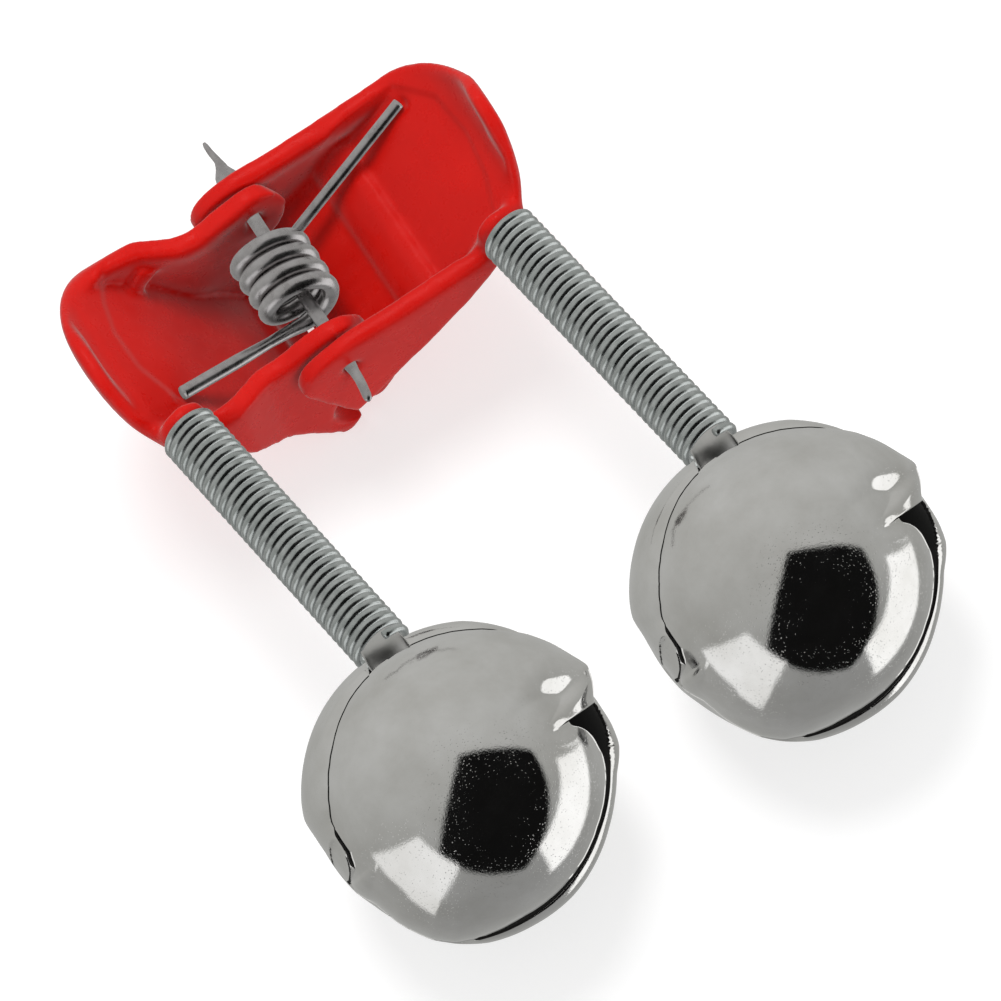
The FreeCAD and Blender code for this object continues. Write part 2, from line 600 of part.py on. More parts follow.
def show(name, point):
    q = TO_ROW.multVec(point) * 0.001
    print("%s = [%.6f, %.6f, %.6f]" % (name, q.x, q.y, q.z))


def show_dir(name, direction):
    q = FRAME.Rotation.multVec(direction)
    print("%s = [%.6f, %.6f, %.6f]" % (name, q.x, q.y, q.z))


print("tip angle %.4f deg" % math.degrees(TIP))
show("pin_centre", V(0, 0, 0))
show_dir("pin_axis", V(0, 1, 0))
show("rod_centre", V(0, 0, -D("rod_depth")))
show_dir("bell_x", XB)
show_dir("bell_y", YB)
show_dir("bell_z", ZB)
for side in ("left", "right"):
    s = SIDES[side]
    show(side + "_seat", s["seat"])
    show(side + "_end", s["end"])
    show(side + "_mid", (s["seat"] + s["end"]) * 0.5)
    show(side + "_bell", s["centre"])
    show_dir(side + "_axis", s["axis"])
print("box %.3f x %.3f x %.3f" % (box.XLength, box.YLength, box.ZLength))

os.makedirs("parts", exist_ok=True)
for node, obj in FINAL.items():
    obj.Shape.exportStep("parts/%s.step" % node)
print("wrote %d parts" % len(FINAL))
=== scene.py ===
import bpy, bmesh, json, math
import numpy as np
from mathutils import Vector, Matrix, noise
from mathutils.bvhtree import BVHTree
from mathutils.kdtree import KDTree


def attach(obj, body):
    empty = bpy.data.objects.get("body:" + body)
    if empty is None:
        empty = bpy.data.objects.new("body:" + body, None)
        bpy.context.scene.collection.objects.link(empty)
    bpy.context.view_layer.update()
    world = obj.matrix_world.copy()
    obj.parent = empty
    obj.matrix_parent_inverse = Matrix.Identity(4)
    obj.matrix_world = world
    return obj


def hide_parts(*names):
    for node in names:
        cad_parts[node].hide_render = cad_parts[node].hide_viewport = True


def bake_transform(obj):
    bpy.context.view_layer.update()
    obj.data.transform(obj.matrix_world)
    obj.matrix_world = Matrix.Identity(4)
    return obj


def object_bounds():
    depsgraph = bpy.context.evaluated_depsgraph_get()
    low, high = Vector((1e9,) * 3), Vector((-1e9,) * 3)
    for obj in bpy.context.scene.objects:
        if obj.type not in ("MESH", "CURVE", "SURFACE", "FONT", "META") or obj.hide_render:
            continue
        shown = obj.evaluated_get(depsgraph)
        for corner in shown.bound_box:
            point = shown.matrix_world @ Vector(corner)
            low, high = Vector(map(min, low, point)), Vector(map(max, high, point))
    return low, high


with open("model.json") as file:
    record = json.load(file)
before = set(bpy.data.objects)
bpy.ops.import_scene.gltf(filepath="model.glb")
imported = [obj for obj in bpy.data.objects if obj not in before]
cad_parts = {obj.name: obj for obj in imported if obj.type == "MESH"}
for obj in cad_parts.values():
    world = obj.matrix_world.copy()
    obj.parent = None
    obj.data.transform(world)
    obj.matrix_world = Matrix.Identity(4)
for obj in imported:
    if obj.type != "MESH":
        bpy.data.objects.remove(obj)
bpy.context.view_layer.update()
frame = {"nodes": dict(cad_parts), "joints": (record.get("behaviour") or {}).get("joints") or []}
MM = 0.001
J = {j["name"]: j for j in frame["joints"]}
NODES = frame["nodes"]
COLL = bpy.context.scene.collection
bpy.context.scene.view_settings.view_transform = "Standard"


def unit(v):
    v = np.asarray(v, float)
    return v / np.linalg.norm(v)


# ------------------------------------------------------------------ frames
# clip frame: o towards the outer half, y along the pin away from the bells, e up
PIN = np.array(J["clip_pivot"]["pos_m"]) / MM
PAX = unit(J["clip_pivot"]["axis"])
CX = np.array([1.0, 0.0, 0.0])
CZ = unit(np.cross(CX, PAX))


def clip(o, y, e):
    return PIN + CX * o + PAX * y + CZ * e


# bell frame: across, towards the stem, out of the mouth
BZ = unit(J["right_bell_rock"]["axis"])
BY0 = np.array([0.039324, 0.886765, 0.460544])
BY = unit(BY0 - BZ * BY0.dot(BZ))
BX = np.cross(BY, BZ)
# the two directions of the front view, in the bell frame
IR = unit(BX * 0.872 - BY * 0.489)
IU = unit(BX * 0.489 + BY * 0.872)
BELL = {s: np.array(J[s + "_pellet_roll"]["pos_m"]) / MM for s in ("left", "right")}
END = {s: np.array(J[s + "_bell_rock"]["pos_m"]) / MM for s in ("left", "right")}
MID = {s: np.array(J[s + "_stem_flex"]["pos_m"]) / MM for s in ("left", "right")}
SEAT = {s: 2 * MID[s] - END[s] for s in ("left", "right")}


def smoothstep(x, a, b):
    t = np.clip((np.asarray(x, float) - a) / (np.asarray(b, float) - a), 0, 1)
    return t * t * (3 - 2 * t)


def link(name, verts, faces, smooth=True):
    me = bpy.data.meshes.new(name)
    me.from_pydata([tuple(float(c) * MM for c in v) for v in verts], [], [tuple(f) for f in faces])
    me.update()
    bm = bmesh.new()
    bm.from_mesh(me)
    bmesh.ops.recalc_face_normals(bm, faces=bm.faces)
    bm.to_mesh(me)
    bm.free()
    if smooth:
        me.shade_smooth()
    ob = bpy.data.objects.new(name, me)
    COLL.objects.link(ob)
    return ob


def apply_all(ob):
    dg = bpy.context.evaluated_depsgraph_get()
    bpy.context.view_layer.update()
    me = bpy.data.meshes.new_from_object(ob.evaluated_get(dg))
    ob.modifiers.clear()
    ob.data = me
    return ob


def tube(path, radii, n=12, close=True, flat=None, up=None):
    """verts and faces of a tube that follows path; flat scales the section's second axis at each point"""
    P = np.asarray(path, float)
    m = len(P)
    T = np.gradient(P, axis=0)
    T /= np.linalg.norm(T, axis=1)[:, None]
    u = unit(np.cross(T[0], up if up is not None else ([0, 0, 1] if abs(T[0][2]) < 0.9 else [1, 0, 0])))
    V, F = [], []
    R = np.broadcast_to(radii, m)
    S = np.broadcast_to(1.0 if flat is None else flat, m)
    for i in range(m):
        u = unit(u - T[i] * u.dot(T[i]))
        w = np.cross(T[i], u)
        for k in range(n):
            a = 2 * math.pi * k / n
            V.append(P[i] + R[i] * (math.cos(a) * u + S[i] * math.sin(a) * w))
    for i in range(m - 1):
        for k in range(n):
            a, b = i * n + k, i * n + (k + 1) % n
            F.append((a, b, b + n, a + n))
    if close:
        F.append(tuple(range(n - 1, -1, -1)))
        F.append(tuple((m - 1) * n + k for k in range(n)))
    return V, F


# ------------------------------------------------------------------ materials
def material(name):
    m = bpy.data.materials.new(name)
    m.use_nodes = True
    nt = m.node_tree
    return m, nt, nt.nodes["Principled BSDF"]


def nd(nt, kind, **props):
    n = nt.nodes.new(kind)
    for k, v in props.items():
        if k in n.inputs.keys():
            n.inputs[k].default_value = v
        else:
            setattr(n, k, v)
    return n


def noise_tex(nt, co, scale, detail=4.0, rough=0.5):
    n = nd(nt, "ShaderNodeTexNoise")
    n.inputs["Scale"].default_value = scale
    n.inputs["Detail"].default_value = detail
    n.inputs["Roughness"].default_value = rough
    nt.links.new(co, n.inputs["Vector"])
    return n


def ramp(nt, fac, stops):
    r = nd(nt, "ShaderNodeValToRGB")
    while len(r.color_ramp.elements) < len(stops):
        r.color_ramp.elements.new(0.5)
    for el, (p, c) in zip(r.color_ramp.elements, stops):
        el.position = p
        el.color = (*c, 1) if len(c) == 3 else c
    nt.links.new(fac, r.inputs["Fac"])
    return r


def bump(nt, height, strength, dist, prev=None):
    b = nd(nt, "ShaderNodeBump")
    b.inputs["Strength"].default_value = strength
    b.inputs["Distance"].default_value = dist
    nt.links.new(height, b.inputs["Height"])
    if prev is not None:
        nt.links.new(prev, b.inputs["Normal"])
    return b.outputs["Normal"]


def red_plastic():
    m, nt, p = material("red_plastic_moulded")
    co = nd(nt, "ShaderNodeTexCoord").outputs["Object"]
    big = noise_tex(nt, co, 160, 3, 0.5)
    col = ramp(nt, big.outputs["Fac"], [(0.3, (0.55, 0.0045, 0.002)), (0.55, (0.60, 0.006, 0.003)),
                                        (0.8, (0.64, 0.009, 0.005))])
    nt.links.new(col.outputs["Color"], p.inputs["Base Color"])
    mid = noise_tex(nt, co, 900, 4, 0.6)
    rr = ramp(nt, mid.outputs["Fac"], [(0.35, (0.24,) * 3), (0.65, (0.36,) * 3)])
    nt.links.new(rr.outputs["Color"], p.inputs["Roughness"])
    fine = noise_tex(nt, co, 3500, 3, 0.5)
    n1 = bump(nt, big.outputs["Fac"], 0.10, 0.0004)
    n2 = bump(nt, fine.outputs["Fac"], 0.02, 0.00002, n1)
    nt.links.new(n2, p.inputs["Normal"])
    p.inputs["Subsurface Weight"].default_value = 0.08
    p.inputs["Subsurface Radius"].default_value = (0.0012, 0.00015, 0.0001)
    p.inputs["Subsurface Scale"].default_value = 1.0
    p.inputs["Specular IOR Level"].default_value = 0.22
    return m


def wire(name, lo, hi, r0, r1, scale=1400):
    m, nt, p = material(name)
    co = nd(nt, "ShaderNodeTexCoord").outputs["Object"]
    a = noise_tex(nt, co, scale, 5, 0.6)
    col = ramp(nt, a.outputs["Fac"], [(0.3, lo), (0.7, hi)])
    nt.links.new(col.outputs["Color"], p.inputs["Base Color"])
    rr = ramp(nt, a.outputs["Fac"], [(0.3, (r0,) * 3), (0.7, (r1,) * 3)])
    nt.links.new(rr.outputs["Color"], p.inputs["Roughness"])
    f = noise_tex(nt, co, scale * 3, 3, 0.5)
    nt.links.new(bump(nt, f.outputs["Fac"], 0.2, 0.00003), p.inputs["Normal"])
    p.inputs["Metallic"].default_value = 1.0
    return m


def nickel():
    m, nt, p = material("nickel_plate")
    co = nd(nt, "ShaderNodeTexCoord").outputs["Object"]
    a = noise_tex(nt, co, 260, 4, 0.55)
    col = ramp(nt, a.outputs["Fac"], [(0.3, (0.68, 0.672, 0.645)), (0.7, (0.82, 0.815, 0.80))])
    nt.links.new(col.outputs["Color"], p.inputs["Base Color"])
    rr = ramp(nt, noise_tex(nt, co, 700, 4, 0.6).outputs["Fac"], [(0.35, (0.035,) * 3), (0.7, (0.10,) * 3)])
    nt.links.new(rr.outputs["Color"], p.inputs["Roughness"])
    wavy = bump(nt, noise_tex(nt, co, 300, 2, 0.5).outputs["Fac"], 0.10, 0.00014)
    grain = bump(nt, noise_tex(nt, co, 6500, 3, 0.7).outputs["Fac"], 0.35, 0.000012, wavy)
    pits = nd(nt, "ShaderNodeTexVoronoi")
    pits.inputs["Scale"].default_value = 5200
    nt.links.new(co, pits.inputs["Vector"])
    pr = ramp(nt, pits.outputs["Distance"], [(0.0, (0.0,) * 3), (0.22, (1.0,) * 3)])
    gate = ramp(nt, noise_tex(nt, co, 700, 3, 0.6).outputs["Fac"], [(0.40, (1.0,) * 3), (0.56, (0.0,) * 3)])
    mx = nd(nt, "ShaderNodeMath", operation="MAXIMUM")
    nt.links.new(pr.outputs["Color"], mx.inputs[0])
    nt.links.new(gate.outputs["Color"], mx.inputs[1])
    nt.links.new(bump(nt, mx.outputs[0], 0.55, 0.00002, grain), p.inputs["Normal"])
    p.inputs["Metallic"].default_value = 1.0
    return m


RED = red_plastic()
ZINC = wire("zinc_wire", (0.40, 0.43, 0.42), (0.62, 0.65, 0.64), 0.20, 0.34)
STEEL = wire("spring_steel_wire", (0.40, 0.38, 0.38), (0.62, 0.60, 0.60), 0.22, 0.36, 1100)
PELLET = wire("pellet_steel_ball", (0.32, 0.32, 0.32), (0.45, 0.45, 0.45), 0.3, 0.5, 700)
NICKEL = nickel()


def dull_inside_and_painted_shade():
    """the inside of the shells: dull unplated metal, painted near black as shade so the gaps and cut edges read dark;
    also used for the painted shade strips by the tab's fold
    """
    m, nt, p = material("shell_inside_dull_and_painted_shade")
    co = nd(nt, "ShaderNodeTexCoord").outputs["Object"]
    a = noise_tex(nt, co, 900, 4, 0.6)
    # near-black colour: partly the dull unplated inside, mostly painted shade standing in for the dark inside of the
    # bell
    col = ramp(nt, a.outputs["Fac"], [(0.3, (0.006, 0.006, 0.006)), (0.7, (0.02, 0.019, 0.018))])
    nt.links.new(col.outputs["Color"], p.inputs["Base Color"])
    nt.links.new(bump(nt, a.outputs["Fac"], 0.3, 0.00005), p.inputs["Normal"])
    p.inputs["Roughness"].default_value = 0.7
    p.inputs["Specular IOR Level"].default_value = 0.1
    return m


INSIDE_AND_PAINTED_SHADE = dull_inside_and_painted_shade()


def rubbed_nickel():
    """the strap: the same plate, rubbed dull by the spring"""
    m, nt, p = material("nickel_rubbed")
    co = nd(nt, "ShaderNodeTexCoord").outputs["Object"]
    a = noise_tex(nt, co, 800, 4, 0.6)
    col = ramp(nt, a.outputs["Fac"], [(0.3, (0.60, 0.60, 0.58)), (0.7, (0.74, 0.73, 0.71))])
    nt.links.new(col.outputs["Color"], p.inputs["Base Color"])
    rr = ramp(nt, a.outputs["Fac"], [(0.3, (0.42,) * 3), (0.7, (0.55,) * 3)])
    nt.links.new(rr.outputs["Color"], p.inputs["Roughness"])
    nt.links.new(bump(nt, noise_tex(nt, co, 4000, 3, 0.6).outputs["Fac"], 0.2, 0.00002), p.inputs["Normal"])
    p.inputs["Metallic"].default_value = 1.0
    return m


RUBBED = rubbed_nickel()


def paint(ob, m):
    ob.data.materials.clear()
    ob.data.materials.append(m)
    return ob


# ------------------------------------------------------------------ red halves
LOOK = np.array([0.53, 0.06, 3.17])
RIGHT = np.array([0.8496, -0.4963, -0.1789])
UP = np.array([0.5215, 0.7385, 0.4278])
BACK = unit(np.cross(RIGHT, UP))
UPV = unit(np.cross(BACK, RIGHT))
RT = np.cross(UPV, BACK)


def face_on(P):
    """mm points to the front view's plane, mm right of and above LOOK"""
    d = np.asarray(P) - LOOK
    return np.stack([d @ RT, d @ UPV], 1)


def seg_dist(Q, line):
    """signed distance from an open polyline, positive on its left"""
    L = np.asarray(line, float)
    best = np.full(len(Q), 1e9)
    sign = np.ones(len(Q))
    for a, b in zip(L[:-1], L[1:]):
        ab = b - a
        t = np.clip(((Q - a) @ ab) / (ab @ ab), 0, 1)
        near = a + t[:, None] * ab
        d = np.linalg.norm(Q - near, axis=1)
        cr = ab[0] * (Q - a)[:, 1] - ab[1] * (Q - a)[:, 0]
        m = d < best
        best[m] = d[m]
        sign[m] = np.sign(cr[m])
    return best * sign


def relax(me, mask, n, co=None):
    """neighbour averaging of the masked points"""
    nv = len(me.vertices)
    e = np.empty(len(me.edges) * 2, int)
    me.edges.foreach_get("vertices", e)
    e = e.reshape(-1, 2)
    X = np.empty(nv * 3)
    me.vertices.foreach_get("co", X)
    X = X.reshape(-1, 3)
    deg = np.bincount(e.ravel(), minlength=nv).astype(float)
    k = np.asarray(mask, float)[:, None] * 0.6
    for _ in range(n):
        S = np.stack([np.bincount(e[:, 0], X[e[:, 1], q], nv) + np.bincount(e[:, 1], X[e[:, 0], q], nv) for q in range(3)], 1)
        X = X + k * (S / deg[:, None] - X)
    me.vertices.foreach_set("co", X.ravel())
    me.update()


def shape_ears(me, way):
    """ears: the outer pair reach a little past the pin, the inner pair stop short of it"""
    n = len(me.vertices)
    X = np.empty(n * 3)
    me.vertices.foreach_get("co", X)
    X = X.reshape(-1, 3) / MM
    o, y, e = (X - PIN) @ CX, (X - PIN) @ PAX, (X - PIN) @ CZ
    near = smoothstep(np.abs(y), 4.6, 5.4) * smoothstep(e, -4.0, -2.5)
    if way > 0:
        do = -0.75 * smoothstep(-o, 0.9, 3.0) * near
    else:
        do = -1.0 * smoothstep(o, 0.9, 3.0) * near
    X = X + do[:, None] * CX
    me.vertices.foreach_set("co", (X * MM).ravel())
    me.update()


def thick_rims(me, way):
    """widen the walls' top edges towards the inside of the channel, where the moulding is thickest"""
    n = len(me.vertices)
    X = np.empty(n * 3)
    N = np.empty(n * 3)
    me.vertices.foreach_get("co", X)
    me.vertices.foreach_get("normal", N)
    X, N = X.reshape(-1, 3) / MM, N.reshape(-1, 3)
    bvh = BVHTree.FromPolygons([tuple(v) for v in X], [tuple(f.vertices) for f in me.polygons])
    facing = np.nonzero((N @ BZ) > 0.75)[0]
    top = []
    dn = Vector(-BZ)
    for i in facing[::2]:
        hit = bvh.ray_cast(Vector(X[i] - BZ * 0.08), dn, 30)
        if hit[0] is not None and hit[3] > 2.6:
            top.append(i)
    if not top:
        return
    kd = KDTree(len(top))
    for i in top:
        kd.insert(X[i], i)
    kd.balance()
    o, y = (X - PIN) @ CX, (X - PIN) @ PAX
    mid = PIN + CX * (6.0 * way)
    into = mid - X
    into -= np.outer(into @ BZ, BZ)
    # the channel's middle line runs along o, so the walls beside it are widened across it
    across = np.outer(-np.sign(y) * smoothstep(np.abs(y), 1.5, 4.0), PAX)
    into = np.where((np.abs(o) < 7.5)[:, None], across, into)
    ln = np.linalg.norm(into, axis=1)
    into /= np.maximum(ln, 1e-6)[:, None]
    into -= np.outer(into @ BZ, BZ)
    dist_ = np.full(n, 9.0)
    facing_in = smoothstep((N * into).sum(1), -0.15, 0.55)
    cand = np.nonzero(((N * into).sum(1) > -0.3) & ((o * way) > -1.5))[0]
    for i in cand:
        dist_[i] = kd.find(X[i])[2]
    w = facing_in * (1 - smoothstep(dist_, 0.3, 2.2)) * smoothstep(ln, 0.3, 1.0)
    w *= smoothstep(o * way, -1.2, 1.2)
    # even the weights out over the surface before anything moves
    e = np.empty(len(me.edges) * 2, int)
    me.edges.foreach_get("vertices", e)
    e = e.reshape(-1, 2)
    deg = np.maximum(np.bincount(e.ravel(), minlength=n).astype(float), 1)
    mv = w[:, None] * into
    for _ in range(22):
        mv = 0.4 * mv + 0.6 * np.stack([np.bincount(e[:, 0], mv[e[:, 1], q], n) + np.bincount(e[:, 1], mv[e[:, 0], q], n)
                                        for q in range(3)], 1) / deg[:, None]
    X = X + 0.28 * mv
    me.vertices.foreach_set("co", (X * MM).ravel())
    me.update()
    relax(me, np.ones(n), 4)


def moulded(node, body, name, crease, flip, seat, way):
    """The half as a moulding: the CAD solid with softened edges and a broad lip round its handle end."""
    src = NODES[node]
    ob = bpy.data.objects.new(name, src.data.copy())
    COLL.objects.link(ob)
    shape_ears(ob.data, way)
    rm = ob.modifiers.new("remesh", "REMESH")
    rm.mode = "VOXEL"
    rm.voxel_size = 0.00016
    apply_all(ob)
    me = ob.data
    nv = len(me.vertices)
    X = np.empty(nv * 3)
    me.vertices.foreach_get("co", X)
    X = X.reshape(-1, 3) / MM
    relax(me, np.ones(nv), 7)
    thick_rims(me, way)
    d = np.linalg.norm(X - seat, axis=1)
    relax(me, 1 - smoothstep(d, 2.0, 4.0), 36)
    me.vertices.foreach_get("co", X.reshape(-1))
    X = np.empty(nv * 3)
    me.vertices.foreach_get("co", X)
    X = X.reshape(-1, 3) / MM
    N = np.empty(nv * 3)
    me.vertices.foreach_get("normal", N)
    N = N.reshape(-1, 3)
    Q = face_on(X)
    sd = seg_dist(Q, crease) * flip
    up = smoothstep(N @ BZ, 0.05, 0.45)
    lip_ = smoothstep(sd, -0.10, 0.22) * (1 - smoothstep(sd, 4.7, 6.0)) * up
    # only where the handle end is, not the ears
    a, b = np.array(crease[0]), np.array(crease[-1])
    t = ((Q - a) @ (b - a)) / ((b - a) @ (b - a))
    lip_ *= smoothstep(t, -0.12, 0.02) * (1 - smoothstep(t, 0.99, 1.10))
    X = X + (lip_ * 0.26)[:, None] * BZ
    me.vertices.foreach_set("co", (X * MM).ravel())
    me.update()
    relax(me, np.ones(nv), 2)
    me.shade_smooth()
    paint(ob, RED)
    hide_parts(node)
    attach(ob, body)
    ob.visible_glossy = False
    return ob


outer = moulded("outer_clip_half", "outer_half", "outer_half_moulding",
                [(-10.72, 23.3), (-10.03, 24.06), (-6.89, 26.38), (-4.18, 25.63), (-2.17, 23.24), (-1.04, 20.72), (-0.6, 18.96)], 1, SEAT["right"], 1)
inner = moulded("inner_clip_half", "inner_half", "inner_half_moulding",
                [(-25.31, 15.0), (-25.38, 13.87), (-25.19, 12.67), (-24.43, 10.66), (-22.86, 8.52), (-20.47, 6.57)], -1, SEAT["left"], -1)

# ------------------------------------------------------------------ pivot pin
ys = [-10.0, -9.9, -9.6, -8.4, -7.8, -7.2, -6.6, 0.0, 7.0, 7.6, 8.2, 8.8, 9.3, 9.9, 10.7, 11.3, 11.5]
rs = [0.12, 0.24, 0.30, 0.31, 0.33, 0.42, 0.46, 0.45, 0.46, 0.62, 0.82, 0.70, 0.42, 0.25, 0.21, 0.17, 0.10]
fl = [1.0, 1.0, 1.0, 1.0, 1.0, 1.0, 1.0, 1.0, 1.0, 0.80, 0.50, 0.45, 0.55, 0.70, 0.7, 0.7, 0.8]
yy = np.linspace(-10.0, 11.5, 170)
# the +y end is nipped to a burr that leans a little
path = [clip(0.12 * math.exp(-((y - 9.8) / 0.7) ** 2) - 0.10 * max(0, -8.2 - y) ** 1.5, y, 0.0) for y in yy]
V, F = tube(path, np.interp(yy, ys, rs), 20, flat=np.interp(yy, ys, fl), up=CZ)
pin = paint(link("pin_wire", V, F), STEEL)
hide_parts("pivot_pin")
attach(pin, "outer_half")

# ------------------------------------------------------------------ torsion spring
ARM_R = np.array([11.5, 5.1, 3.45])
ARM_L = np.array([-9.95, -3.35, 1.25])
CR, WR, DROP, PITCH, Y0 = 2.16, 0.575, 0.45, 1.21, 2.81


def arc_join(a, b, n):
    return [a + (b - a) * t for t in np.linspace(0, 1, n)]


# outer arm, from its tip to the underside of the coil, then the turns, then the inner arm
turns = 4.0 + 30 / 360
helix = []
for i in range(293):
    t = i / 292
    a = -math.pi / 2 - 2 * math.pi * turns * t
    helix.append(np.array([-DROP + CR * math.cos(a), Y0 - PITCH * turns * t, CR * math.sin(a)]))
arm_a = arc_join(ARM_R, helix[0], 40)
arm_b = arc_join(helix[-1], ARM_L, 40)
chain = arm_a[:-1] + helix + arm_b[1:]
C = np.array(chain)
for _ in range(4):
    C[1:-1] = 0.25 * C[:-2] + 0.5 * C[1:-1] + 0.25 * C[2:]
d = np.r_[0, np.cumsum(np.linalg.norm(np.diff(C, axis=0), axis=1))]
uu = np.linspace(0, d[-1], 620)
C = np.stack([np.interp(uu, d, C[:, k]) for k in range(3)], 1)
world = [clip(*c) for c in C]
to_r, to_l = uu, d[-1] - uu
rad = np.full(len(uu), WR)
rad = np.where(to_r < 14.5, 0.37 + (WR - 0.37) * smoothstep(to_r, 11.0, 14.5), rad)
rad = np.where(to_l < 10.5, np.interp(to_l, [0, 4.5, 7.0, 8.6, 10.5], [0.46, 0.46, 0.36, 0.42, WR]), rad)
V, F = tube(world, rad, 16, up=CZ)
coil = paint(link("torsion_spring_wire", V, F), STEEL)
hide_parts("torsion_spring")
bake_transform(coil)

# ------------------------------------------------------------------ stem springs
for s, half in (("right", "outer_half"), ("left", "inner_half")):
    ax = unit(END[s] - SEAT[s])
    L = np.linalg.norm(END[s] - SEAT[s])
    u = unit(np.cross(ax, BZ))
    w = np.cross(ax, u)
    n = L / 0.585
    a0 = 0.4
    pts = []
    steps = int(n * 36)
    for i in range(steps + 1):
        t = i / steps
        k = n * t
        z = L * t
        r = 1.70
        # the last turn opens and stands off the stack
        if k > n - 0.55:
            q = (k - (n - 0.55)) / 0.55
            z += 0.16 * q * q
        a = a0 + 2 * math.pi * k
        pts.append(SEAT[s] + ax * (z - 0.25) + r * (math.cos(a) * u + math.sin(a) * w))
    V, F = tube(pts, 0.285, 10, up=ax)
    st = paint(link(s + "_stem_wire", V, F), ZINC)
    st.visible_glossy = False
    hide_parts(s + "_stem_spring")
    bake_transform(st)

# ------------------------------------------------------------------ bells
# (angle, radius) pairs round the bell as seen from its mouth side, mm
RIM = [(-180, 9.92), (-173, 9.98), (-167, 9.98), (-160, 9.62), (-153.5, 9.42), (-147, 9.36), (-139.6, 9.32),
       (-134, 9.34), (-130, 9.2), (-126, 9.08), (-120, 9.2), (-113, 9.42), (-100, 9.78), (-92, 9.9), (-80, 9.98),
       (-62, 9.85), (-45, 9.82), (-30, 9.68), (-16, 9.58), (-6, 9.6), (4, 9.7), (10, 9.98), (14.4, 10.14),
       (22, 10.07), (28.8, 9.93), (38, 9.85), (50, 9.95), (60, 10.0), (72, 10.12), (90, 10.15), (108, 9.92),
       (131, 9.68), (140, 9.72), (152, 9.78), (170, 9.85)]
FRONT = [(-180, 8.10), (-172, 8.14), (-163.6, 8.2), (-157.8, 7.97), (-149.8, 7.81), (-144, 8.05), (-141.5, 8.25),
         (-139.5, 8.9), (-137, 9.22), (-134, 9.26), (-130, 9.14), (-126, 9.02), (-120, 9.14), (-113, 9.36),
         (-100, 9.70), (-92, 9.74), (-84, 9.50), (-79, 9.32), (-64, 8.92), (-43, 8.80), (-18, 8.74),
         (-7, 8.84), (6.4, 8.96), (11.6, 8.93), (16.1, 8.78), (20.4, 8.65), (24.1, 8.46), (27.0, 8.15),
         (28.6, 7.80), (31.2, 7.76), (31.25, 9.72), (33.4, 9.86), (38.1, 10.3), (43.5, 10.75), (49, 10.52), (60, 10.3),
         (72, 9.98), (80, 9.78), (88, 9.58), (108, 9.2), (120.6, 8.98), (141.9, 8.65), (163, 8.22)]
# inner edge of the back shell along the open slit
EDGE = [(-84, 9.68), (-78, 9.56), (-60, 9.26), (-42, 9.08), (-20, 9.05), (-4, 9.20), (4, 9.28), (11.4, 9.40), (19, 9.66),
        (24, 9.74), (29.6, 9.78), (36, 9.70)]


def ring(table_, ang):
    a = np.array([p[0] for p in table_], float)
    r = np.array([p[1] for p in table_], float)
    a = np.r_[a - 360, a, a + 360]
    r = np.r_[r, r, r]
    o = np.argsort(a)
    return np.interp((ang + 180) % 360 - 180, a[o], r[o])


def rag(a, k, amp, seed=0.0):
    return amp * noise.noise(Vector((a * k, seed, 3.1)))


def periodic_smooth(x, n):
    for _ in range(n):
        x = 0.25 * np.roll(x, 1) + 0.5 * x + 0.25 * np.roll(x, -1)
    return x


def dents(r, v):
    """depth of the folds that run into the tear, and of the flattened patch round them"""
    d = 0.20 * math.exp(-((r - 6.6) ** 2 + (v - 3.9) ** 2) / 1.9 ** 2)
    # long fold above the tear
    ux, uy = 0.563, -0.826
    px, py = r - 5.5, v - 5.75
    al, ac = px * ux + py * uy, -px * uy + py * ux
    wide = 0.50 - 0.13 * al
    d += 0.24 * math.exp(-(al / 1.45) ** 2 - (ac / max(wide, 0.2)) ** 2)
    d -= 0.08 * math.exp(-((al + 0.2) / 1.4) ** 2 - ((ac + 0.85) / 0.38) ** 2)
    # short fold below it
    px, py = r - 6.15, v - 3.62
    rr = math.hypot(px, py * 1.25)
    d += 0.17 * math.exp(-(rr / 0.62) ** 2)
    d -= 0.035 * math.exp(-((rr - 1.05) / 0.32) ** 2)
    return d


def orient_out(ob, c):
    """faces look away from the bell's middle"""
    me = ob.data
    n = np.empty(len(me.polygons) * 3)
    q = np.empty(len(me.polygons) * 3)
    me.polygons.foreach_get("normal", n)
    me.polygons.foreach_get("center", q)
    n, q = n.reshape(-1, 3), q.reshape(-1, 3)
    if ((q - c * MM) * n).sum() < 0:
        me.flip_normals()


NA = 600
ANG = np.arange(NA) * 360.0 / NA - 180.0
RFR = ring(FRONT, ANG)
JUMP = 31.225
calm = RFR.copy()
for _ in range(2):
    q = 0.25 * np.roll(calm, 1) + 0.5 * calm + 0.25 * np.roll(calm, -1)
    calm = np.where(np.abs(ANG - JUMP) < 1.3, calm, q)
RFR = calm
RBK = periodic_smooth(ring(RIM, ANG), 6)
lip = smoothstep(ANG, 8, 14) * (1 - smoothstep(ANG, 26, 33))
for i, a in enumerate(ANG):
    RFR[i] += rag(a, 0.22, 0.025, 7.0)
COS, SIN = np.cos(np.radians(ANG)), np.sin(np.radians(ANG))
# how far out the flare starts
W_LO = 0.30 + 0.46 * (smoothstep(ANG, -158, -150) * (1 - smoothstep(ANG, -130, -115)) + smoothstep(ANG, 8, 22) * (1 - smoothstep(ANG, 40, 60)))
TH_MAX = np.arcsin(np.minimum(RFR, 8.985) / 9.0)
W7 = max(1, int(round(7 * NA / 360)))
TH_IN = periodic_smooth(np.min([np.roll(TH_MAX, q) for q in range(-W7, W7 + 1)], axis=0), 30)
Z_EDGE = 0.9 + 9 * np.cos(TH_MAX)


